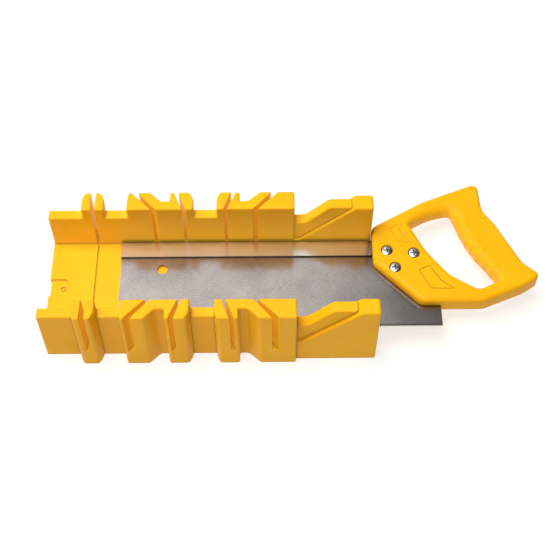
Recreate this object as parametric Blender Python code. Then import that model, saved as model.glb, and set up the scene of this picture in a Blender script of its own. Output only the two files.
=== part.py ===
"""Mitre box with its back saw lying in the channel.

World frame: the origin is the middle of the box's footprint, +X runs along the channel towards the
saw handle, +Y across it and +Z up, with the box standing on Z = 0. Lengths below are millimetres.
"""

import math

import bmesh
import bpy
from mathutils import Vector

MM = 0.001
GAP = 0.3  # clearance between touching pieces

# Mitre box
BOX_LENGTH = 305.0
CHANNEL_HALF = 48.0  # channel mid-plane to either inner face
LOW_WALL = 10.0  # wall thickness between the guide blocks
GUIDE_WALL = 20.0  # wall thickness at the guide blocks
FLOOR_TOP = 25.5
FLOOR_PLATE = 4.0
LOW_TOP = 68.0
GUIDE_TOP = 82.0
EDGE_ROUND = 1.8
SHARP_TURN = 28.0  # outline corners turning more than this, in degrees, get rounded
SLOT_HALF = 1.55  # half the square slot's width at its narrow inner end
SLOT_BOTTOM = 23.9
SLOT_FLARE = 1.0  # rounding of a slot's upper edges
KERF_WIDTH = 1.8  # saw mark across the floor under the square slot
SQUARE_SLOT_X = 43.0  # from the left end
MITRE_CENTRE_X = 147.1  # where the four mitre lines cross, from the left end
PANEL_LENGTH = 17.5  # sunken panel at the floor's left end
PANEL_FRONT_Y = -10.4
PANEL_BACK_Y = 8.0
PANEL_DEPTH = 1.8
DIMPLE = (13.4, -2.3)  # centre of the round dimple in that panel
DIMPLE_R = 2.9
DIMPLE_BOSS_R = 1.3
RIB_THICK = 3.0
MIDDLE_RIB_THICK = 10.0
END_WALL_THICK = 4.0  # closes the hollow underside at either end
HOLLOW_HALF = 44.0

# End block with the 45 degree bevel slot
END_START_X = 231.2
END_TOP = 81.0
END_WALL = 16.3
BEVEL_FACE = 206.8  # x - z on the end block's sloping face
BEVEL_GAP = 2.3  # slot width along x
WEB_INNER = 2.1  # set-back of the web from the channel face
WEB_OUTER = 13.0  # web's outer face from the channel face
WEB_TOP = 79.8
WEB_LOW = 55.0
RAMP_X = 241.0  # foot of the ramp up to the web's top
RAMP_TOP_X = 263.6

# Saw
TOE_X = 66.4
HEEL_X = 366.3
BLADE_Z = 28.3
BLADE_THICK = 0.9
TOOTH_LINE_Y = -47.4
TOOTH_DEPTH = 1.9
TOOTH_COUNT = 154
TOOTH_SET = 0.35  # how far tooth tips bend up and down in turn
SPINE_BACK_Y = 47.0
SPINE_DEPTH = 18.0
SPINE_THICK = 5.0
SPINE_END_X = 312.0
HANG_HOLE = (105.8, 16.0, 5.0)  # x, y, radius
HANDLE_THICK = 20.0
HANDLE_ROUND = 4.5
GRIP_ROUND = 8.0  # rounding of the hand opening where the hand bears on it
CHEEK_GROOVE = (0.9, 0.45)  # depths of the grooves round the two panels in the handle's cheek
CHEEK_GROOVE_WIDTH = 1.1
SCREWS = ((319.1, 30.0), (344.4, 27.0), (325.7, 11.0))
SCREW_HEAD_R = 5.3
SCREW_HEAD_THICK = 1.6
BARREL_R = 4.0
SHANK_R = 2.4
COUNTERSINK = 1.9

YELLOW = (0.86, 0.55, 0.015, 1.0)
STEEL = (0.42, 0.40, 0.38, 1.0)
SPINE_STEEL = (0.62, 0.60, 0.57, 1.0)
CHROME = (0.75, 0.75, 0.76, 1.0)


def clear_scene():
    for obj in list(bpy.data.objects):
        bpy.data.objects.remove(obj, do_unlink=True)


def make_collection(name):
    collection = bpy.data.collections.new(name)
    bpy.context.scene.collection.children.link(collection)
    return collection


def material(name, colour, roughness, metallic):
    found = bpy.data.materials.new(name)
    found.use_nodes = True
    shader = found.node_tree.nodes["Principled BSDF"]
    shader.inputs["Base Color"].default_value = colour
    shader.inputs["Roughness"].default_value = roughness
    shader.inputs["Metallic"].default_value = metallic
    found.diffuse_color = colour
    return found


def filleted(corners, step=12.0):
    """Closed outline from corners (x, y) or (x, y, radius); each arc is cut every `step` degrees."""
    outline = []
    count = len(corners)
    for i, corner in enumerate(corners):
        here = Vector(corner[:2])
        radius = corner[2] if len(corner) > 2 else 0.0
        to_last = (Vector(corners[i - 1][:2]) - here).normalized()
        to_next = (Vector(corners[(i + 1) % count][:2]) - here).normalized()
        angle = to_last.angle(to_next)
        if radius <= 0.0 or angle > math.radians(179.5):
            outline.append(here)
            continue
        centre = here + (to_last + to_next).normalized() * (radius / math.sin(angle / 2))
        reach = radius / math.tan(angle / 2)
        first = here + to_last * reach - centre
        turn = first.angle_signed(here + to_next * reach - centre)
        parts = max(2, round(abs(math.degrees(turn)) / step))
        start = math.atan2(first.y, first.x)
        for k in range(parts + 1):
            a = start - turn * k / parts
            outline.append(centre + Vector((math.cos(a), math.sin(a))) * radius)
    return outline


def circle(x, y, radius, parts=32):
    return [
        Vector((x + radius * math.cos(a), y + radius * math.sin(a)))
        for a in (2 * math.pi * k / parts for k in range(parts))
    ]


def signed_area(outline):
    return sum(a.cross(b) for a, b in zip(outline, outline[1:] + outline[:1])) / 2


def new_object(name, mesh, collection, shade):
    obj = bpy.data.objects.new(name, mesh)
    collection.objects.link(obj)
    if shade:
        obj.data.materials.append(shade)
    if collection.name == "cutters":
        obj.hide_render = True
        obj.display_type = "WIRE"
    return obj


def finish_mesh(name, shape, collection, shade):
    bmesh.ops.recalc_face_normals(shape, faces=shape.faces)
    mesh = bpy.data.meshes.new(name)
    shape.to_mesh(mesh)
    shape.free()
    return new_object(name, mesh, collection, shade)


def place_plan(point, level):
    """Outline point in plan at height `level`; x counts from the box's left end."""
    return Vector((point.x - BOX_LENGTH / 2, point.y, level)) * MM


def place_side(point, level):
    """Outline point in the x-z plane at y = `level`; x counts from the box's left end."""
    return Vector((point.x - BOX_LENGTH / 2, level, point.y)) * MM


def place_section(point, level):
    """Outline point in the y-z plane at x = `level` from the box's left end."""
    return Vector((level - BOX_LENGTH / 2, point.x, point.y)) * MM


def turn_at(outline, i):
    """Angle in degrees that a closed outline turns through at its point i."""
    before = outline[i] - outline[i - 1]
    after = outline[(i + 1) % len(outline)] - outline[i]
    return math.degrees(before.angle(after))


def prism(name, outline, low, high, place, collection, shade=None, rounded=None, radius=0.0):
    """Extrudes the outline from `low` to `high`; cap edges picked by `rounded` are rounded off."""
    shape = bmesh.new()
    rings = [[shape.verts.new(place(p, level)) for p in outline] for level in (low, high)]
    for ring in rings:
        shape.faces.new(ring)
    for i in range(len(outline)):
        j = (i + 1) % len(outline)
        shape.faces.new((rings[0][i], rings[0][j], rings[1][j], rings[1][i]))
    if rounded:
        picked = []
        for level, ring in zip((low, high), rings):
            for i in range(len(outline)):
                j = (i + 1) % len(outline)
                if rounded(level, outline[i], outline[j]):
                    picked.append(shape.edges.get((ring[i], ring[j])))
        bmesh.ops.recalc_face_normals(shape, faces=shape.faces)
        bmesh.ops.bevel(
            shape, geom=picked, offset=radius * MM, segments=3, profile=0.5, affect="EDGES"
        )
    return finish_mesh(name, shape, collection, shade)


def wall_block(name, outline, height, radius, collection):
    """Upright block from the bench up, its top rim and sharp upright corners rounded alike."""
    shape = bmesh.new()
    rings = [[shape.verts.new(place_plan(p, z)) for p in outline] for z in (0.0, height)]
    for ring in rings:
        shape.faces.new(ring)
    picked = []
    for i in range(len(outline)):
        j = (i + 1) % len(outline)
        shape.faces.new((rings[0][i], rings[0][j], rings[1][j], rings[1][i]))
        picked.append(shape.edges.get((rings[1][i], rings[1][j])))
    for i in range(len(outline)):
        if turn_at(outline, i) > SHARP_TURN:
            picked.append(shape.edges.get((rings[0][i], rings[1][i])))
    bmesh.ops.recalc_face_normals(shape, faces=shape.faces)
    bmesh.ops.bevel(
        shape, geom=picked, offset=radius * MM, segments=3, profile=0.5, affect="EDGES"
    )
    return finish_mesh(name, shape, collection, None)


def box(name, lows, highs, collection):
    outline = [
        Vector((lows[0], lows[1])),
        Vector((highs[0], lows[1])),
        Vector((highs[0], highs[1])),
        Vector((lows[0], highs[1])),
    ]
    return prism(name, outline, lows[2], highs[2], place_plan, collection)


def boolean(target, operation, other, solver="EXACT"):
    modifier = target.modifiers.new(operation.lower() + "_" + other.name, "BOOLEAN")
    modifier.operation = operation
    modifier.solver = solver
    modifier.object = other


def across(outline, side):
    """The same plan outline for the wall on +y (side 1) or -y (side -1)."""
    placed = [Vector((p.x, p.y * side)) for p in outline]
    return placed if side > 0 else placed[::-1]


def bulge(start, lean, side):
    """Flank that leaves `start` along y and bows over by `lean` on its way to the outer face."""
    rise = CHANNEL_HALF + GUIDE_WALL - start[1]
    points = [(start[0] + side * lean * (k / 4) ** 1.5, start[1] + rise * k / 4) for k in range(5)]
    return points if side > 0 else points[::-1]


def guide_blocks():
    """Plan outlines of the three raised guide blocks on the +y wall."""
    inner = CHANNEL_HALF
    pocket = CHANNEL_HALF + LOW_WALL
    outer = CHANNEL_HALF + GUIDE_WALL
    base = outer - 9.0
    centre = MITRE_CENTRE_X
    square = [(32.3, inner)]
    square += bulge((32.3, base), 3.2, 1)
    square += bulge((53.4, base), 4.0, -1)
    square += [(53.4, inner)]
    left = [(74.6, inner), (74.6, base), (75.8, outer)]
    left += [(centre - 50.8, outer), (centre - 40.9, pocket)]
    left += [(centre - 32.4, pocket), (centre - 32.4, outer)]
    left += bulge((centre - 10.5, base), 4.0, -1)
    left += [(centre - 10.5, inner)]
    right = [(centre + 11.2, inner)]
    right += bulge((centre + 11.2, base), 3.2, 1)
    right += [(centre + 32.6, outer), (centre + 32.6, pocket), (centre + 38.6, pocket)]
    right += [(centre + 41.0, pocket + 0.5), (centre + 42.6, pocket + 1.6)]
    right += [(centre + 51.6, outer), (END_START_X, outer), (END_START_X, inner)]
    return [[Vector(p) for p in block] for block in (square, left, right)]


def slot_plan(line_x, angle, stations):
    """Plan outline of a saw slot through the +y wall, leaning towards -x on the way out.

    The saw's line crosses the channel's mid-plane at `line_x`. Stations are (y, left, right): how
    far either side of the slot stands off that line along x.
    """
    lean = math.tan(math.radians(angle))
    line = [(Vector((line_x - y * lean, y)), left, right) for y, left, right in stations]
    outline = [point + Vector((right, 0.0)) for point, left, right in line]
    outline += [point - Vector((left, 0.0)) for point, left, right in line[::-1]]
    return outline


def slot_outlines():
    """Every plan slot through the +y wall: each widens outwards, away from the saw's line."""
    inner = CHANNEL_HALF - 1.0
    neck = CHANNEL_HALF + 4.7
    throat = CHANNEL_HALF + GUIDE_WALL - 4.0
    outer = CHANNEL_HALF + GUIDE_WALL + 1.0
    half = SLOT_HALF
    slots = [slot_plan(SQUARE_SLOT_X, 0.0, ((inner, half, half), (outer, half + 1.2, half + 0.7)))]
    mitres = (
        (22.5, ((inner, 1.1, 2.3), (neck, 0.9, 2.3), (outer, 0.9, 3.6))),
        (45.0, ((inner, 1.7, 3.5), (neck, 1.1, 3.0), (throat, 1.1, 4.4), (outer, 1.0, 6.4))),
    )
    for angle, stations in mitres:
        leaning = slot_plan(MITRE_CENTRE_X, angle, stations)
        slots.append(leaning)
        slots.append([Vector((2 * MITRE_CENTRE_X - p.x, p.y)) for p in leaning[::-1]])
    return slots


def flared_slot(name, outline, collection):
    """Slot cutter that opens out at the guide tops, so the slot's upper edges come out rounded."""
    levels = [(SLOT_BOTTOM, 0.0)]
    for k in range(4):
        a = math.pi / 2 * k / 3
        levels.append(
            (GUIDE_TOP - SLOT_FLARE * (1 - math.sin(a)), SLOT_FLARE * (1 - math.cos(a)))
        )
    levels.append((GUIDE_TOP + 5.0, SLOT_FLARE))
    shape = bmesh.new()
    rings = [
        [shape.verts.new(place_plan(p, z)) for p in offset_outline(outline, -spread)]
        for z, spread in levels
    ]
    shape.faces.new(rings[0])
    shape.faces.new(rings[-1])
    for low, high in zip(rings, rings[1:]):
        for i in range(len(low)):
            j = (i + 1) % len(low)
            shape.faces.new((low[i], low[j], high[j], high[i]))
    return finish_mesh(name, shape, collection, None)


def end_profiles():
    """Side outlines (x, z) of the end block and of the web left of the bevel slot."""
    face = BEVEL_FACE
    web = BEVEL_FACE - BEVEL_GAP
    foot = FLOOR_TOP + 4.5
    root = END_START_X - 2.0
    block = [
        (root, 0.0),
        (BOX_LENGTH, 0.0),
        (BOX_LENGTH, END_TOP, 2.5),
        (face + END_TOP, END_TOP),
        (face + foot, foot),
        (root, foot),
    ]
    blade = [
        (root, root - web),
        (root, WEB_LOW),
        (RAMP_X, WEB_LOW, 5.0),
        (RAMP_TOP_X, WEB_TOP, 6.0),
        (web + WEB_TOP, WEB_TOP),
    ]
    return filleted(block), filleted(blade)


def cut_end_panel(floor, cutters):
    """Sinks a shallow panel into the floor's left end, with a round dimple and a nick in the edge.

    The dimple keeps a small boss in its middle.
    """
    sunk = FLOOR_TOP - PANEL_DEPTH
    corners = [
        (-2.0, PANEL_FRONT_Y),
        (PANEL_LENGTH, PANEL_FRONT_Y, 4.0),
        (PANEL_LENGTH, PANEL_BACK_Y, 4.0),
        (-2.0, PANEL_BACK_Y),
    ]
    panel = prism(
        "end_panel", filleted(corners), sunk, FLOOR_TOP + 2.0, place_plan, cutters
    )
    dimple = prism(
        "end_dimple", circle(*DIMPLE, DIMPLE_R), sunk - 1.2, FLOOR_TOP + 2.0, place_plan, cutters
    )
    boss = prism(
        "dimple_boss", circle(*DIMPLE, DIMPLE_BOSS_R), sunk - 2.0, sunk - 0.2, place_plan, cutters
    )
    nick = box(
        "end_nick", (-2.0, PANEL_FRONT_Y, sunk - 6.0), (1.4, PANEL_BACK_Y, FLOOR_TOP + 3.0), cutters
    )
    for cutter in (panel, dimple, nick):
        boolean(floor, "DIFFERENCE", cutter, "MANIFOLD")
    boolean(floor, "UNION", boss, "MANIFOLD")


def build_box(parts, cutters, shade):
    floor = box(
        "miter_box",
        (0.0, -CHANNEL_HALF - 2.0, 0.0),
        (BOX_LENGTH, CHANNEL_HALF + 2.0, FLOOR_TOP),
        parts,
    )
    floor.data.materials.append(shade)
    block, web = end_profiles()
    inner_face = CHANNEL_HALF
    for side, tag in ((1, "far"), (-1, "near")):
        low = [
            Vector((0.0, CHANNEL_HALF)),
            Vector((0.0, CHANNEL_HALF + LOW_WALL)),
            Vector((END_START_X, CHANNEL_HALF + LOW_WALL)),
            Vector((END_START_X, CHANNEL_HALF)),
        ]
        solids = [
            wall_block("low_wall_" + tag, across(low, side), LOW_TOP, EDGE_ROUND, cutters)
        ]
        for i, outline in enumerate(guide_blocks()):
            name = f"guide_block_{tag}_{i + 1}"
            solids.append(
                wall_block(name, across(outline, side), GUIDE_TOP, EDGE_ROUND, cutters)
            )
        solids.append(
            prism(
                "end_block_" + tag,
                block,
                inner_face * side,
                (CHANNEL_HALF + END_WALL) * side,
                place_side,
                cutters,
                None,
                lambda level, a, b: max(a.y, b.y) > FLOOR_TOP + 6.0,
                2.4,
            )
        )
        solids.append(
            prism(
                "end_web_" + tag,
                web,
                (CHANNEL_HALF + WEB_INNER) * side,
                (CHANNEL_HALF + WEB_OUTER) * side,
                place_side,
                cutters,
                None,
                lambda level, a, b: min(a.y, b.y) > WEB_LOW - 1.0,
                1.6,
            )
        )
        for solid in solids:
            boolean(floor, "UNION", solid, "MANIFOLD")
    for side, tag in ((1, "far"), (-1, "near")):
        for i, outline in enumerate(slot_outlines()):
            cutter = flared_slot(f"slot_{tag}_{i + 1}", across(outline, side), cutters)
            boolean(floor, "DIFFERENCE", cutter, "MANIFOLD")
    kerf = box(
        "square_kerf",
        (SQUARE_SLOT_X - KERF_WIDTH / 2, -CHANNEL_HALF - 0.5, SLOT_BOTTOM),
        (SQUARE_SLOT_X + KERF_WIDTH / 2, CHANNEL_HALF + 0.5, FLOOR_TOP + 1.0),
        cutters,
    )
    boolean(floor, "DIFFERENCE", kerf, "MANIFOLD")
    cut_end_panel(floor, cutters)
    ribs = (RIB_THICK, MIDDLE_RIB_THICK, RIB_THICK)
    cell = (BOX_LENGTH - 2 * END_WALL_THICK - sum(ribs)) / (len(ribs) + 1)
    start = END_WALL_THICK
    for i, rib in enumerate((*ribs, 0.0)):
        hollow = box(
            f"floor_hollow_{i + 1}",
            (start, -HOLLOW_HALF, -1.0),
            (start + cell, HOLLOW_HALF, FLOOR_TOP - FLOOR_PLATE),
            cutters,
        )
        start += cell + rib
        boolean(floor, "DIFFERENCE", hollow, "MANIFOLD")
    return floor


def toothed_plate(name, body, tips, low, high, collection, shade):
    """Plate whose first edges each carry a saw tooth, its tip bent down or up in turn."""
    shape = bmesh.new()
    levels = (low, high)
    rings = [[shape.verts.new(place_plan(p, level)) for p in body] for level in levels]
    ends = [
        [
            shape.verts.new(place_plan(tip, level + (TOOTH_SET if i % 2 else -TOOTH_SET)))
            for i, tip in enumerate(tips)
        ]
        for level in levels
    ]
    for ring, row in zip(rings, ends):
        shape.faces.new(ring)
        for i, end in enumerate(row):
            shape.faces.new((ring[i], end, ring[i + 1]))
    for i in range(len(body)):
        j = (i + 1) % len(body)
        corners = [(rings[0][i], rings[1][i]), (rings[0][j], rings[1][j])]
        if i < len(tips):
            corners.insert(1, (ends[0][i], ends[1][i]))
        for (a, b), (c, d) in zip(corners, corners[1:]):
            shape.faces.new((a, c, d, b))
    return finish_mesh(name, shape, collection, shade)


def build_blade(parts, cutters, shade):
    """Steel plate with its teeth along -y, a hang hole and holes for the handle's barrels."""
    pitch = (HEEL_X - TOE_X) / TOOTH_COUNT
    root = TOOTH_LINE_Y + TOOTH_DEPTH
    body = [Vector((TOE_X + i * pitch, root)) for i in range(TOOTH_COUNT + 1)]
    body.append(Vector((HEEL_X, -13.0)))
    body.append(Vector((341.0, 33.0)))
    body.append(Vector((330.0, SPINE_BACK_Y - 1.0)))
    body.append(Vector((TOE_X, SPINE_BACK_Y - 1.0)))
    tips = [Vector((TOE_X + (i + 0.55) * pitch, TOOTH_LINE_Y)) for i in range(TOOTH_COUNT)]
    half = BLADE_THICK / 2
    blade = toothed_plate(
        "saw_blade", body, tips, BLADE_Z - half, BLADE_Z + half, parts, shade
    )
    holes = [("hang_hole", *HANG_HOLE)]
    for i, (x, y) in enumerate(SCREWS):
        holes.append((f"blade_bolt_hole_{i + 1}", x, y, BARREL_R + GAP))
    for name, x, y, radius in holes:
        cutter = prism(
            name, circle(x, y, radius), BLADE_Z - 3.0, BLADE_Z + 3.0, place_plan, cutters
        )
        boolean(blade, "DIFFERENCE", cutter)
    return blade


def build_spine(parts, shade):
    """Steel strip folded over the blade's back edge."""
    back = SPINE_BACK_Y
    front = SPINE_BACK_Y - SPINE_DEPTH
    low = BLADE_Z - SPINE_THICK / 2
    high = BLADE_Z + SPINE_THICK / 2
    slot = BLADE_THICK / 2 + GAP
    section = filleted(
        [
            (front, low, 0.6),
            (back, low, 2.0),
            (back, high, 2.0),
            (front, high),
            (front, BLADE_Z + slot),
            (back - 1.0 + GAP, BLADE_Z + slot),
            (back - 1.0 + GAP, BLADE_Z - slot),
            (front, BLADE_Z - slot),
        ],
        15.0,
    )
    return prism("saw_spine", section, TOE_X - 0.4, SPINE_END_X, place_section, parts, shade)


def handle_outline():
    return filleted(
        [
            (305.7, 17.6, 6.0),
            (305.7, 57.3, 8.0),
            (356.6, 87.0, 60.0),
            (413.6, 110.0, 6.0),
            (414.9, 77.0, 14.0),
            (426.0, 60.2, 40.0),
            (446.6, 16.8, 16.0),
            (463.2, 2.0, 5.6),
            (445.3, -9.6, 50.0),
            (406.5, -25.8, 14.0),
            (347.5, -25.8, 10.0),
        ]
    )


def grip_outline():
    """Hand opening through the handle."""
    corners = [
        (341.6, 61.9, 4.0),
        (356.3, 31.0, 100.0),
        (376.5, 3.8, 25.0),
        (402.3, -12.6, 8.0),
        (424.4, -2.4, 4.0),
        (401.0, 29.0, 45.0),
        (391.2, 50.8, 140.0),
        (383.9, 77.3, 4.0),
        (366.0, 73.6, 60.0),
    ]
    return subdivided(filleted(corners), 2.5)


def grip_round(point):
    """Rounding at a point of the hand opening: wide along its back and its grip, with four finger
    waves down the grip, and narrow along its front."""
    behind = ((point.x - 341.6) * 64.3 + (point.y - 61.9) * 82.8) / 104.8
    ease = min(1.0, max(0.0, (behind - 1.0) / 9.0))
    radius = HANDLE_ROUND + (GRIP_ROUND - HANDLE_ROUND) * ease * ease * (3 - 2 * ease)
    along = (72.0 - point.y) / 64.0
    if 0.0 < along < 1.0 and point.x > 384.0:
        radius += 0.55 * (1 - math.cos(8 * math.pi * along))
    return radius


def subdivided(outline, longest):
    """Splits the outline's long straights on the grip's side so that none is over `longest`."""
    result = []
    for a, b in zip(outline, outline[1:] + outline[:1]):
        parts = max(1, math.ceil((b - a).length / longest)) if a.x > 380.0 and b.x > 380.0 else 1
        result += [a.lerp(b, k / parts) for k in range(parts)]
    return result


def offset_outline(outline, distance):
    """Moves each point of a closed outline towards its inside: all by `distance`, or each by its own."""
    distances = distance if isinstance(distance, list) else [distance] * len(outline)
    sign = 1.0 if signed_area(outline) > 0 else -1.0
    moved = []
    for i, point in enumerate(outline):
        before = (point - outline[i - 1]).normalized()
        after = (outline[(i + 1) % len(outline)] - point).normalized()
        normal = Vector((-(before + after).y, (before + after).x)).normalized() * sign
        spread = max(0.5, math.sqrt((1 + before.dot(after)) / 2))
        moved.append(point + normal * distances[i] / spread)
    return moved


def cheek_panels():
    """Plan outlines of the two grooved panels beside the hand opening: below it and left of it."""
    below = [
        (346.8, 7.8, 2.0),
        (358.2, 13.2, 2.5),
        (368.2, -4.2, 6.0),
        (380.2, -13.1, 0.0),
        (357.6, -13.1, 3.0),
    ]
    beside = [
        (322.6, 54.0, 2.0),
        (330.5, 60.5, 2.0),
        (336.0, 47.0, 6.0),
        (343.4, 36.6, 0.0),
        (328.1, 40.7, 4.0),
    ]
    return filleted(below), filleted(beside)


def build_handle(parts, cutters, shade):
    """One-piece closed handle with rounded rims inside and out."""
    bottom = BLADE_Z - HANDLE_THICK / 2
    top = BLADE_Z + HANDLE_THICK / 2
    steps = 4
    turns = [math.pi / 2 * k / steps for k in range(steps + 1)]
    shape = bmesh.new()
    caps = [[], []]
    rim = handle_outline()
    opening = grip_outline()
    for outline, inward, radii in (
        (rim, 1.0, [HANDLE_ROUND] * len(rim)),
        (opening, -1.0, [grip_round(p) for p in opening]),
    ):
        rings = []
        for face, way in ((bottom, 1.0), (top, -1.0)):
            for a in turns[:: int(way)]:
                insets = [inward * r * (1 - math.sin(a)) for r in radii]
                rings.append(
                    [
                        shape.verts.new(place_plan(p, face + way * r * (1 - math.cos(a))))
                        for p, r in zip(offset_outline(outline, insets), radii)
                    ]
                )
        for low, high in zip(rings, rings[1:]):
            for i in range(len(low)):
                j = (i + 1) % len(low)
                shape.faces.new((low[i], low[j], high[j], high[i]))
        for cap, ring in zip(caps, (rings[0], rings[-1])):
            for i in range(len(ring)):
                cap.append(shape.edges.get((ring[i], ring[(i + 1) % len(ring)])))
    for cap in caps:
        bmesh.ops.triangle_fill(shape, use_beauty=True, use_dissolve=False, edges=cap)
    handle = finish_mesh("saw_handle", shape, parts, shade)
    half = BLADE_THICK / 2 + GAP
    blade_room = [
        Vector((300.0, -60.0)),
        Vector((HEEL_X + GAP, -60.0)),
        Vector((HEEL_X + GAP, -13.0 + GAP)),
        Vector((341.0 + GAP, 33.0 + GAP)),
        Vector((330.0 + GAP, SPINE_BACK_Y - 1.0 + GAP)),
        Vector((300.0, SPINE_BACK_Y - 1.0 + GAP)),
    ]
    cuts = [
        prism("blade_room", blade_room, BLADE_Z - half, BLADE_Z + half, place_plan, cutters),
        box(
            "spine_room",
            (300.0, SPINE_BACK_Y - SPINE_DEPTH - GAP, BLADE_Z - SPINE_THICK / 2 - GAP),
            (SPINE_END_X + GAP, SPINE_BACK_Y + GAP, BLADE_Z + SPINE_THICK / 2 + GAP),
            cutters,
        ),
    ]
    islands = []
    for i, (outline, sink) in enumerate(zip(cheek_panels(), CHEEK_GROOVE)):
        name = f"cheek_groove_{i + 1}"
        cuts.append(prism(name, outline, top - sink, top + 2.0, place_plan, cutters))
        inside = offset_outline(outline, CHEEK_GROOVE_WIDTH)
        name = f"cheek_panel_{i + 1}"
        islands.append(prism(name, inside, top - 3.0, top - 0.1, place_plan, cutters))
    for i, (x, y) in enumerate(SCREWS):
        cuts.append(
            prism(
                f"barrel_hole_{i + 1}",
                circle(x, y, BARREL_R + GAP),
                bottom - 2.0,
                top + 2.0,
                place_plan,
                cutters,
            )
        )
        wide = circle(x, y, SCREW_HEAD_R + 0.6)
        cuts.append(
            prism(
                f"head_seat_{i + 1}", wide, top - COUNTERSINK, top + 2.0, place_plan, cutters
            )
        )
        cuts.append(
            prism(
                f"nut_seat_{i + 1}", wide, bottom - 2.0, bottom + COUNTERSINK, place_plan, cutters
            )
        )
    for cut in cuts:
        boolean(handle, "DIFFERENCE", cut)
    for island in islands:
        boolean(handle, "UNION", island)
    return handle


def turned(name, x, y, profile, collection, shade, sides=32):
    """Solid of revolution about the vertical line through (x, y); profile is (radius, z) pairs."""
    shape = bmesh.new()
    rings = []
    for radius, z in profile:
        if radius == 0.0:
            rings.append([shape.verts.new(place_plan(Vector((x, y)), z))])
        else:
            rings.append(
                [shape.verts.new(place_plan(p, z)) for p in circle(x, y, radius, sides)]
            )
    for low, high in zip(rings, rings[1:]):
        for i in range(sides):
            j = (i + 1) % sides
            if len(low) == 1:
                shape.faces.new((low[0], high[i], high[j]))
            elif len(high) == 1:
                shape.faces.new((low[i], low[j], high[0]))
            else:
                shape.faces.new((low[i], low[j], high[j], high[i]))
    return finish_mesh(name, shape, collection, shade)


def build_fixings(parts, cutters, shade):
    """Cross-recess screws on top, barrel nuts below."""
    top = BLADE_Z + HANDLE_THICK / 2
    bottom = BLADE_Z - HANDLE_THICK / 2
    seat = top - COUNTERSINK + GAP
    crown = seat + SCREW_HEAD_THICK
    nut_seat = bottom + COUNTERSINK - GAP
    nut_crown = nut_seat - SCREW_HEAD_THICK
    for i, (x, y) in enumerate(SCREWS):
        screw = turned(
            f"saw_screw_{i + 1}",
            x,
            y,
            [
                (0.0, nut_seat + 3.0),
                (SHANK_R, nut_seat + 3.0),
                (SHANK_R, seat),
                (SCREW_HEAD_R, seat),
                (SCREW_HEAD_R, crown - 1.2),
                (SCREW_HEAD_R * 0.88, crown - 0.65),
                (SCREW_HEAD_R * 0.6, crown - 0.2),
                (0.0, crown),
            ],
            parts,
            shade,
        )
        for tag, dx, dy in (("a", 3.0, 0.6), ("b", 0.6, 3.0)):
            recess = box(
                f"screw_recess_{i + 1}_{tag}",
                (x - dx, y - dy, crown - 1.1),
                (x + dx, y + dy, crown + 1.0),
                cutters,
            )
            boolean(screw, "DIFFERENCE", recess)
        turned(
            f"saw_nut_{i + 1}",
            x,
            y,
            [
                (0.0, nut_crown),
                (SCREW_HEAD_R * 0.8, nut_crown + 0.15),
                (SCREW_HEAD_R, nut_crown + 0.7),
                (SCREW_HEAD_R, nut_seat),
                (BARREL_R, nut_seat),
                (BARREL_R, BLADE_Z + 4.0),
                (SHANK_R + GAP, BLADE_Z + 4.0),
                (SHANK_R + GAP, nut_seat + 2.0),
                (0.0, nut_seat + 2.0),
            ],
            parts,
            shade,
        )


def main():
    clear_scene()
    parts = make_collection("miter_box_saw")
    cutters = make_collection("cutters")
    box_yellow = material("box_yellow", YELLOW, 0.38, 0.0)
    handle_yellow = material("handle_yellow", YELLOW, 0.35, 0.0)
    blade_steel = material("blade_steel", STEEL, 0.3, 1.0)
    spine_steel = material("spine_steel", SPINE_STEEL, 0.22, 1.0)
    chrome = material("screw_chrome", CHROME, 0.12, 1.0)
    build_box(parts, cutters, box_yellow)
    build_blade(parts, cutters, blade_steel)
    build_spine(parts, spine_steel)
    build_handle(parts, cutters, handle_yellow)
    build_fixings(parts, cutters, chrome)
    bpy.context.view_layer.update()


main()
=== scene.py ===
"""Looks of the miter box and the back saw lying in it: materials, floor, light and camera."""

import math

import bpy
from mathutils import Matrix, Vector


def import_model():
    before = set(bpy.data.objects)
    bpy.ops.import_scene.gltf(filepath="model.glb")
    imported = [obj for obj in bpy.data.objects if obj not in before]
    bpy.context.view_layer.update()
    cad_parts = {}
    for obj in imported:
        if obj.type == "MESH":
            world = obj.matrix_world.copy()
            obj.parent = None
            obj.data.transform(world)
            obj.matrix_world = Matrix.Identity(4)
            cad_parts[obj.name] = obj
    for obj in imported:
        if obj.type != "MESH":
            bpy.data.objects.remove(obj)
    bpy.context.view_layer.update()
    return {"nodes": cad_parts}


MM = 0.001
WHITE = (1.0, 1.0, 1.0, 1.0)

# Camera, in the frame of the box, with angles in degrees
CAMERA_PLACE = Vector((54.117, -567.064, 954.852)) * MM
CAMERA_PITCH = 54.394  # below the horizon
CAMERA_YAW = 0.579  # to the right of straight ahead
CAMERA_ROLL = 0.08
LENS_MM = 75.3571
SENSOR_MM = 36.0
LENS_SHIFT = -0.136364  # the optical axis passes above the middle of the view

# Yellow plastic
YELLOW = (0.79, 0.392, 0.004, 1.0)
YELLOW_DEEP = (0.745, 0.36, 0.003, 1.0)
# Painted shade: the yellow darkens to this in grooves, pockets and where parts meet
GROOVE_SHADE_YELLOW = (0.40, 0.19, 0.002, 1.0)
GROOVE_SHADE_REACH = 2.5 * MM
SHEEN = 0.1
SCATTER_WEIGHT = 0.3
SCATTER_DEPTH = 6 * MM
SCATTER_RADIUS = (1.0, 0.7, 0.15)

# Painted glow: emission on the plastic's shaded faces, standing in for light scattered through
# it and bounced around the channel
PAINTED_GLOW_COLOUR = (0.8, 0.5, 0.06, 1.0)
PAINTED_GLOW = 0.19
GLOW_REACH = 80 * MM
GLOW_STARTS = 0.95  # share of open sky at which the glow sets in
GLOW_FULL = 0.65
OUTSIDE_STARTS = -48 * MM  # y where the front wall's outer side begins
OUTSIDE_FULL = -56 * MM
OUTSIDE_SHIFT = 0.35  # taken off the shade there, so that the outer pockets stay dark

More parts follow.
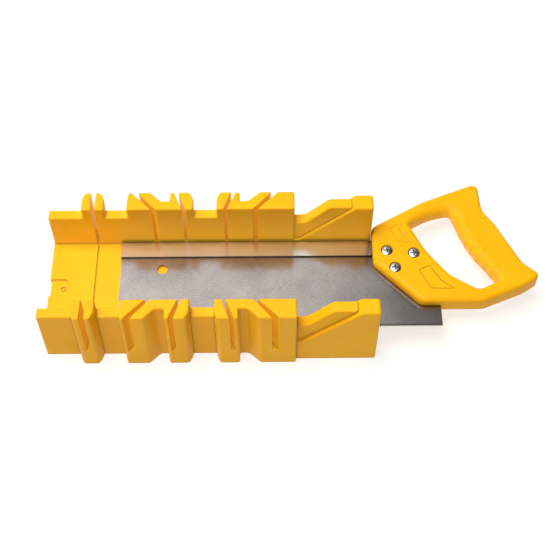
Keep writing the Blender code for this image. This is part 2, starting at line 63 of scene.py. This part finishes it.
# Low finger ribs across the grip, beside the hand opening
GRIP_ANGLE = math.radians(63.06)  # turns the grip's length onto the x axis
GRIP_START = (35.9 * MM, 241.2 * MM)  # top of the hand opening's grip side, once turned
RIB_PITCH = 10 * MM
RIB_HEIGHT = 0.7 * MM
RIB_EDGES = (  # axis once turned, where the ribs are gone, where they are full
    ("X", 10 * MM, 24 * MM),
    ("X", 84 * MM, 72 * MM),
    ("Y", 8 * MM, -1 * MM),
    ("Y", -30 * MM, -20 * MM),
)

# Metals
BLADE_PALE = (0.60, 0.55, 0.52, 1.0)
BLADE_DARK = (0.28, 0.25, 0.23, 1.0)
SPINE_PALE = (0.78, 0.74, 0.66, 1.0)
SPINE_DARK = (0.68, 0.63, 0.54, 1.0)
# Painted contact shadow: the steel darkens to this brown where other parts stand close
CONTACT_SHADOW_BROWN = (0.16, 0.10, 0.06, 1.0)
CONTACT_SHADOW_REACH = 8 * MM
CHROME_PALE = (0.93, 0.93, 0.94, 1.0)
CHROME_DARK = (0.84, 0.84, 0.85, 1.0)
# Painted shade: the recesses of the screws and nuts darken to this
RECESS_SHADE_BLACK = (0.02, 0.015, 0.01, 1.0)
RECESS_SHADE_REACH = 3 * MM
TEETH_BLACK = (0.07, 0.055, 0.045, 1.0)
TEETH_Y = -45.8 * MM  # roots of the saw teeth
TEETH_FADE = 1.2 * MM

# Room: a softly lit table under a sky that is bright on the left and dark on the right. Each
# change of the sky runs between two values of the direction's x or z.
FLOOR_SIZE = 6.0
FLOOR_GREY = (0.24, 0.24, 0.24, 1.0)
FLOOR_GLOW = 0.78
FLOOR_WARMTH = (1.0, 0.95, 0.90, 1.0)
SKY_LEFT = 1.05
SKY_RIGHT = 0.0
SKY_LOW = 0.22
SKY_TURN = (0.065, 0.12)  # x, from left to right
SKY_RISE = (0.1, 0.7)  # z, up to the overhead light
SKY_SINK = (0.65, 0.3)  # z, down to the low light
KEY_PLACE = (-0.25, 0.0, 1.5)
KEY_SIZE = (0.9, 0.7)
KEY_WATTS = 26.0


def new_material(name, roughness, metallic=0.0):
    made = bpy.data.materials.new(name)
    made.use_nodes = True
    shader = made.node_tree.nodes["Principled BSDF"]
    shader.inputs["Roughness"].default_value = roughness
    shader.inputs["Metallic"].default_value = metallic
    return made, made.node_tree, shader


def add(tree, kind, **settings):
    node = tree.nodes.new(kind)
    for key, value in settings.items():
        setattr(node, key, value)
    return node


def object_place(tree):
    return add(tree, "ShaderNodeTexCoord").outputs["Object"]


def noise(tree, vector, scale, detail=2.0, roughness=0.5):
    node = add(tree, "ShaderNodeTexNoise")
    node.inputs["Scale"].default_value = scale
    node.inputs["Detail"].default_value = detail
    node.inputs["Roughness"].default_value = roughness
    tree.links.new(vector, node.inputs["Vector"])
    return node.outputs["Fac"]


def ramp(tree, source, low, high, start=0.3, end=0.7):
    """Colour going from `low` at `start` to `high` at `end`."""
    node = add(tree, "ShaderNodeValToRGB")
    for element, place, colour in zip(node.color_ramp.elements, (start, end), (low, high)):
        element.position = place
        element.color = colour
    tree.links.new(source, node.inputs["Fac"])
    return node.outputs["Color"]


def spread(tree, source, low, high, start=0.0, end=1.0):
    """Maps start..end onto low..high in a straight line, and holds it beyond both."""
    node = add(tree, "ShaderNodeMapRange")
    node.inputs["From Min"].default_value = start
    node.inputs["From Max"].default_value = end
    node.inputs["To Min"].default_value = low
    node.inputs["To Max"].default_value = high
    tree.links.new(source, node.inputs["Value"])
    return node.outputs["Result"]


def fade(tree, source, start, end):
    """Smooth change from 0 at `start` to 1 at `end`."""
    node = add(tree, "ShaderNodeMapRange", interpolation_type="SMOOTHSTEP")
    node.inputs["From Min"].default_value = start
    node.inputs["From Max"].default_value = end
    tree.links.new(source, node.inputs["Value"])
    return node.outputs["Result"]


def mixed(tree, first, second, share):
    """Blends two values, `share` of the second."""
    node = add(tree, "ShaderNodeMix", data_type="FLOAT")
    node.inputs["Factor"].default_value = share
    tree.links.new(first, node.inputs["A"])
    tree.links.new(second, node.inputs["B"])
    return node.outputs["Result"]


def painted(tree, under, colour, share):
    """The socket `colour` laid over the plain colour `under`, by the socket `share`."""
    node = add(tree, "ShaderNodeMixRGB")
    node.inputs["Color1"].default_value = under
    tree.links.new(share, node.inputs["Fac"])
    tree.links.new(colour, node.inputs["Color2"])
    return node.outputs["Color"]


def combined(tree, operation, first, second):
    node = add(tree, "ShaderNodeMath", operation=operation)
    tree.links.new(first, node.inputs[0])
    tree.links.new(second, node.inputs[1])
    return node.outputs["Value"]


def bump(tree, source, strength, distance, normal=None):
    node = add(tree, "ShaderNodeBump")
    node.inputs["Strength"].default_value = strength
    node.inputs["Distance"].default_value = distance
    tree.links.new(source, node.inputs["Height"])
    if normal:
        tree.links.new(normal, node.inputs["Normal"])
    return node.outputs["Normal"]


def stretched(tree, source, scale):
    node = add(tree, "ShaderNodeMapping")
    node.inputs["Scale"].default_value = scale
    tree.links.new(source, node.inputs["Vector"])
    return node.outputs["Vector"]


def axes(tree, source):
    node = add(tree, "ShaderNodeSeparateXYZ")
    tree.links.new(source, node.inputs["Vector"])
    return node.outputs


def openness(tree, reach, **settings):
    """1 on open faces, falling towards 0 where something stands within `reach`."""
    node = add(tree, "ShaderNodeAmbientOcclusion", **settings)
    node.inputs["Distance"].default_value = reach
    return node.outputs["AO"]


def with_painted_shade(tree, colour, reach, darkest):
    """The colour with painted shade: darkened in grooves and along edges that touch another
    piece.
    """
    share = spread(tree, openness(tree, reach, samples=8), 0.0, 1.0, start=0.5)
    return painted(tree, darkest, colour, share)


def grip_ribs(tree, place):
    """Height of the low finger ribs, from 0 to 1."""
    turned = add(tree, "ShaderNodeMapping")
    turned.inputs["Rotation"].default_value = (0.0, 0.0, GRIP_ANGLE)
    turned.inputs["Location"].default_value = (-GRIP_START[0], -GRIP_START[1], 0.0)
    tree.links.new(place, turned.inputs["Vector"])
    ribs = add(tree, "ShaderNodeTexWave")
    # The wave texture repeats each pi / 10 at scale 1.
    ribs.inputs["Scale"].default_value = math.pi / 10 / RIB_PITCH
    tree.links.new(turned.outputs["Vector"], ribs.inputs["Vector"])
    along = axes(tree, turned.outputs["Vector"])
    height = ribs.outputs["Fac"]
    for axis, gone, full in RIB_EDGES:
        height = combined(tree, "MULTIPLY", height, fade(tree, along[axis], gone, full))
    return height


def add_painted_glow(tree, shader, place):
    """Painted glow standing in for light scattered through the plastic, seen inside the slots
    and on the channel's walls.
    """
    outside = fade(tree, axes(tree, place)["Y"], OUTSIDE_STARTS, OUTSIDE_FULL)
    shift = spread(tree, outside, 0.0, OUTSIDE_SHIFT)
    free = combined(tree, "ADD", openness(tree, GLOW_REACH, samples=12, only_local=True), shift)
    glow = spread(tree, free, 0.0, PAINTED_GLOW, start=GLOW_STARTS, end=GLOW_FULL)
    tree.links.new(glow, shader.inputs["Emission Strength"])
    shader.inputs["Emission Color"].default_value = PAINTED_GLOW_COLOUR


def moulded_plastic(name, roughness, grain, ribbed=False):
    """Satin injection-moulded plastic: faint flow clouding and a fine spark-eroded grain."""
    made, tree, shader = new_material(name, roughness)
    place = object_place(tree)
    clouds = ramp(tree, noise(tree, place, scale=22.0, detail=3.0), YELLOW_DEEP, YELLOW)
    # Painted shade in grooves, pockets and where parts meet
    colour = with_painted_shade(tree, clouds, GROOVE_SHADE_REACH, GROOVE_SHADE_YELLOW)
    tree.links.new(colour, shader.inputs["Base Color"])
    scuffs = noise(tree, place, scale=160.0, detail=4.0, roughness=0.6)
    tree.links.new(
        spread(tree, scuffs, roughness - 0.07, roughness + 0.07), shader.inputs["Roughness"]
    )
    relief = bump(tree, noise(tree, place, scale=35.0, detail=1.0), 0.12, 1.2 * MM)
    if ribbed:
        relief = bump(tree, grip_ribs(tree, place), 1.0, RIB_HEIGHT, relief)
    relief = bump(tree, noise(tree, place, scale=2600.0), grain, 0.12 * MM, relief)
    tree.links.new(relief, shader.inputs["Normal"])
    shader.inputs["Specular IOR Level"].default_value = SHEEN
    shader.inputs["Subsurface Weight"].default_value = SCATTER_WEIGHT
    shader.inputs["Subsurface Scale"].default_value = SCATTER_DEPTH
    shader.inputs["Subsurface Radius"].default_value = SCATTER_RADIUS
    # Painted glow on the shaded faces, standing in for scattered and bounced light
    add_painted_glow(tree, shader, place)
    return made


def ground_steel(name, pale, dark, roughness, grain, along):
    """Ground steel: fine scratches drawn out by the scales `along`, over a granular grey."""
    made, tree, shader = new_material(name, roughness, metallic=1.0)
    place = object_place(tree)
    lines = noise(tree, stretched(tree, place, along), scale=1.0, detail=3.0, roughness=0.6)
    grains = noise(tree, place, grain, detail=3.0, roughness=0.7)
    mottle = noise(tree, place, scale=30.0, detail=3.0)
    grey = mixed(tree, mixed(tree, grains, lines, 0.35), mottle, 0.25)
    colour = ramp(tree, grey, dark, pale, start=0.36, end=0.64)
    # Painted contact shadow where the handle, spine or walls stand close
    colour = with_painted_shade(tree, colour, CONTACT_SHADOW_REACH, CONTACT_SHADOW_BROWN)
    tree.links.new(colour, shader.inputs["Base Color"])
    tree.links.new(
        spread(tree, grains, roughness - 0.08, roughness + 0.1), shader.inputs["Roughness"]
    )
    tree.links.new(bump(tree, grains, 0.1, 0.02 * MM), shader.inputs["Normal"])
    return made, place, colour


def blade_steel():
    """The blade's steel, with hardened, almost black teeth along its front edge."""
    made, place, colour = ground_steel(
        "blade_steel",
        BLADE_PALE,
        BLADE_DARK,
        roughness=0.18,
        grain=1500.0,
        along=(300.0, 1500.0, 1500.0),
    )
    tree = made.node_tree
    behind = fade(tree, axes(tree, place)["Y"], TEETH_Y, TEETH_Y + TEETH_FADE)
    edged = painted(tree, TEETH_BLACK, colour, behind)
    tree.links.new(edged, tree.nodes["Principled BSDF"].inputs["Base Color"])
    return made


def spine_steel():
    made, _, _ = ground_steel(
        "spine_steel",
        SPINE_PALE,
        SPINE_DARK,
        roughness=0.22,
        grain=1800.0,
        along=(90.0, 1800.0, 1800.0),
    )
    return made


def chrome_plate(name):
    """Plated screws and nuts, slightly fogged, with painted shade darkening the recesses."""
    made, tree, shader = new_material(name, 0.1, metallic=1.0)
    fog = noise(tree, object_place(tree), scale=260.0, detail=3.0)
    colour = ramp(tree, fog, CHROME_DARK, CHROME_PALE)
    # Painted shade in the recesses
    colour = with_painted_shade(tree, colour, RECESS_SHADE_REACH, RECESS_SHADE_BLACK)
    tree.links.new(colour, shader.inputs["Base Color"])
    tree.links.new(spread(tree, fog, 0.18, 0.36), shader.inputs["Roughness"])
    tree.links.new(bump(tree, fog, 0.1, 0.1 * MM), shader.inputs["Normal"])
    return made


def dress(node, made):
    """Gives a CAD node its material."""
    node.data.materials.clear()
    node.data.materials.append(made)


def dress_all(nodes):
    dress(nodes["miter_box"], moulded_plastic("box_plastic", roughness=0.42, grain=0.3))
    handle_plastic = moulded_plastic("handle_plastic", roughness=0.36, grain=0.15, ribbed=True)
    dress(nodes["saw_handle"], handle_plastic)
    dress(nodes["saw_blade"], blade_steel())
    dress(nodes["saw_spine"], spine_steel())
    plate = chrome_plate("screw_plate")
    for name, node in nodes.items():
        if name.startswith(("saw_screw", "saw_nut")):
            dress(node, plate)


def add_camera():
    camera = bpy.data.objects.new("camera", bpy.data.cameras.new("camera"))
    bpy.context.scene.collection.objects.link(camera)
    yaw = math.radians(CAMERA_YAW)
    pitch = math.radians(CAMERA_PITCH)
    ahead = Vector(
        (math.sin(yaw) * math.cos(pitch), math.cos(yaw) * math.cos(pitch), -math.sin(pitch))
    )
    right = ahead.cross(Vector((0.0, 0.0, 1.0))).normalized()
    up = right.cross(ahead)
    turned = Matrix((right, up, -ahead)).transposed().to_4x4()
    roll = Matrix.Rotation(math.radians(CAMERA_ROLL), 4, "Z")
    camera.matrix_world = Matrix.Translation(CAMERA_PLACE) @ turned @ roll
    camera.data.sensor_width = SENSOR_MM
    camera.data.lens = LENS_MM
    camera.data.shift_y = LENS_SHIFT
    camera.data.clip_start = 0.05
    bpy.context.scene.camera = camera


def add_floor():
    """The pale table, with its own soft light."""
    bpy.ops.mesh.primitive_plane_add(size=FLOOR_SIZE, location=(0.0, 0.0, 0.0))
    floor = bpy.context.object
    floor.name = "floor"
    made, tree, shader = new_material("floor_white", 0.7)
    paper = noise(tree, object_place(tree), scale=40.0, detail=3.0)
    paler = tuple(min(1.0, value * 1.05) for value in FLOOR_GREY)
    tree.links.new(ramp(tree, paper, FLOOR_GREY, paler), shader.inputs["Base Color"])
    shader.inputs["Specular IOR Level"].default_value = 0.1
    shader.inputs["Emission Color"].default_value = FLOOR_WARMTH
    shader.inputs["Emission Strength"].default_value = FLOOR_GLOW
    floor.data.materials.append(made)


def add_sky():
    """Sky by direction: bright overhead on the left, dim all round near the horizon."""
    world = bpy.data.worlds.new("studio")
    bpy.context.scene.world = world
    world.use_nodes = True
    tree = world.node_tree
    ahead = axes(tree, add(tree, "ShaderNodeTexCoord").outputs["Generated"])
    sideways = spread(tree, fade(tree, ahead["X"], *SKY_TURN), SKY_LEFT, SKY_RIGHT)
    overhead = combined(tree, "MULTIPLY", sideways, fade(tree, ahead["Z"], *SKY_RISE))
    around = spread(tree, fade(tree, ahead["Z"], *SKY_SINK), 0.0, SKY_LOW)
    lit = combined(tree, "ADD", overhead, around)
    # Seen directly, the sky is a white backdrop.
    seen = add(tree, "ShaderNodeLightPath").outputs["Is Camera Ray"]
    background = tree.nodes["Background"]
    background.inputs["Color"].default_value = WHITE
    tree.links.new(combined(tree, "MAXIMUM", lit, seen), background.inputs["Strength"])


def add_key_light():
    light = bpy.data.objects.new("key_light", bpy.data.lights.new("key_light", "AREA"))
    bpy.context.scene.collection.objects.link(light)
    light.data.shape = "RECTANGLE"
    light.data.size, light.data.size_y = KEY_SIZE
    light.data.energy = KEY_WATTS
    light.location = KEY_PLACE
    light.rotation_euler = (-Vector(KEY_PLACE)).to_track_quat("-Z", "Y").to_euler()


def main():
    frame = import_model()
    bpy.context.scene.view_settings.view_transform = "Standard"
    dress_all(frame["nodes"])
    add_camera()
    add_floor()
    add_sky()
    add_key_light()


main()
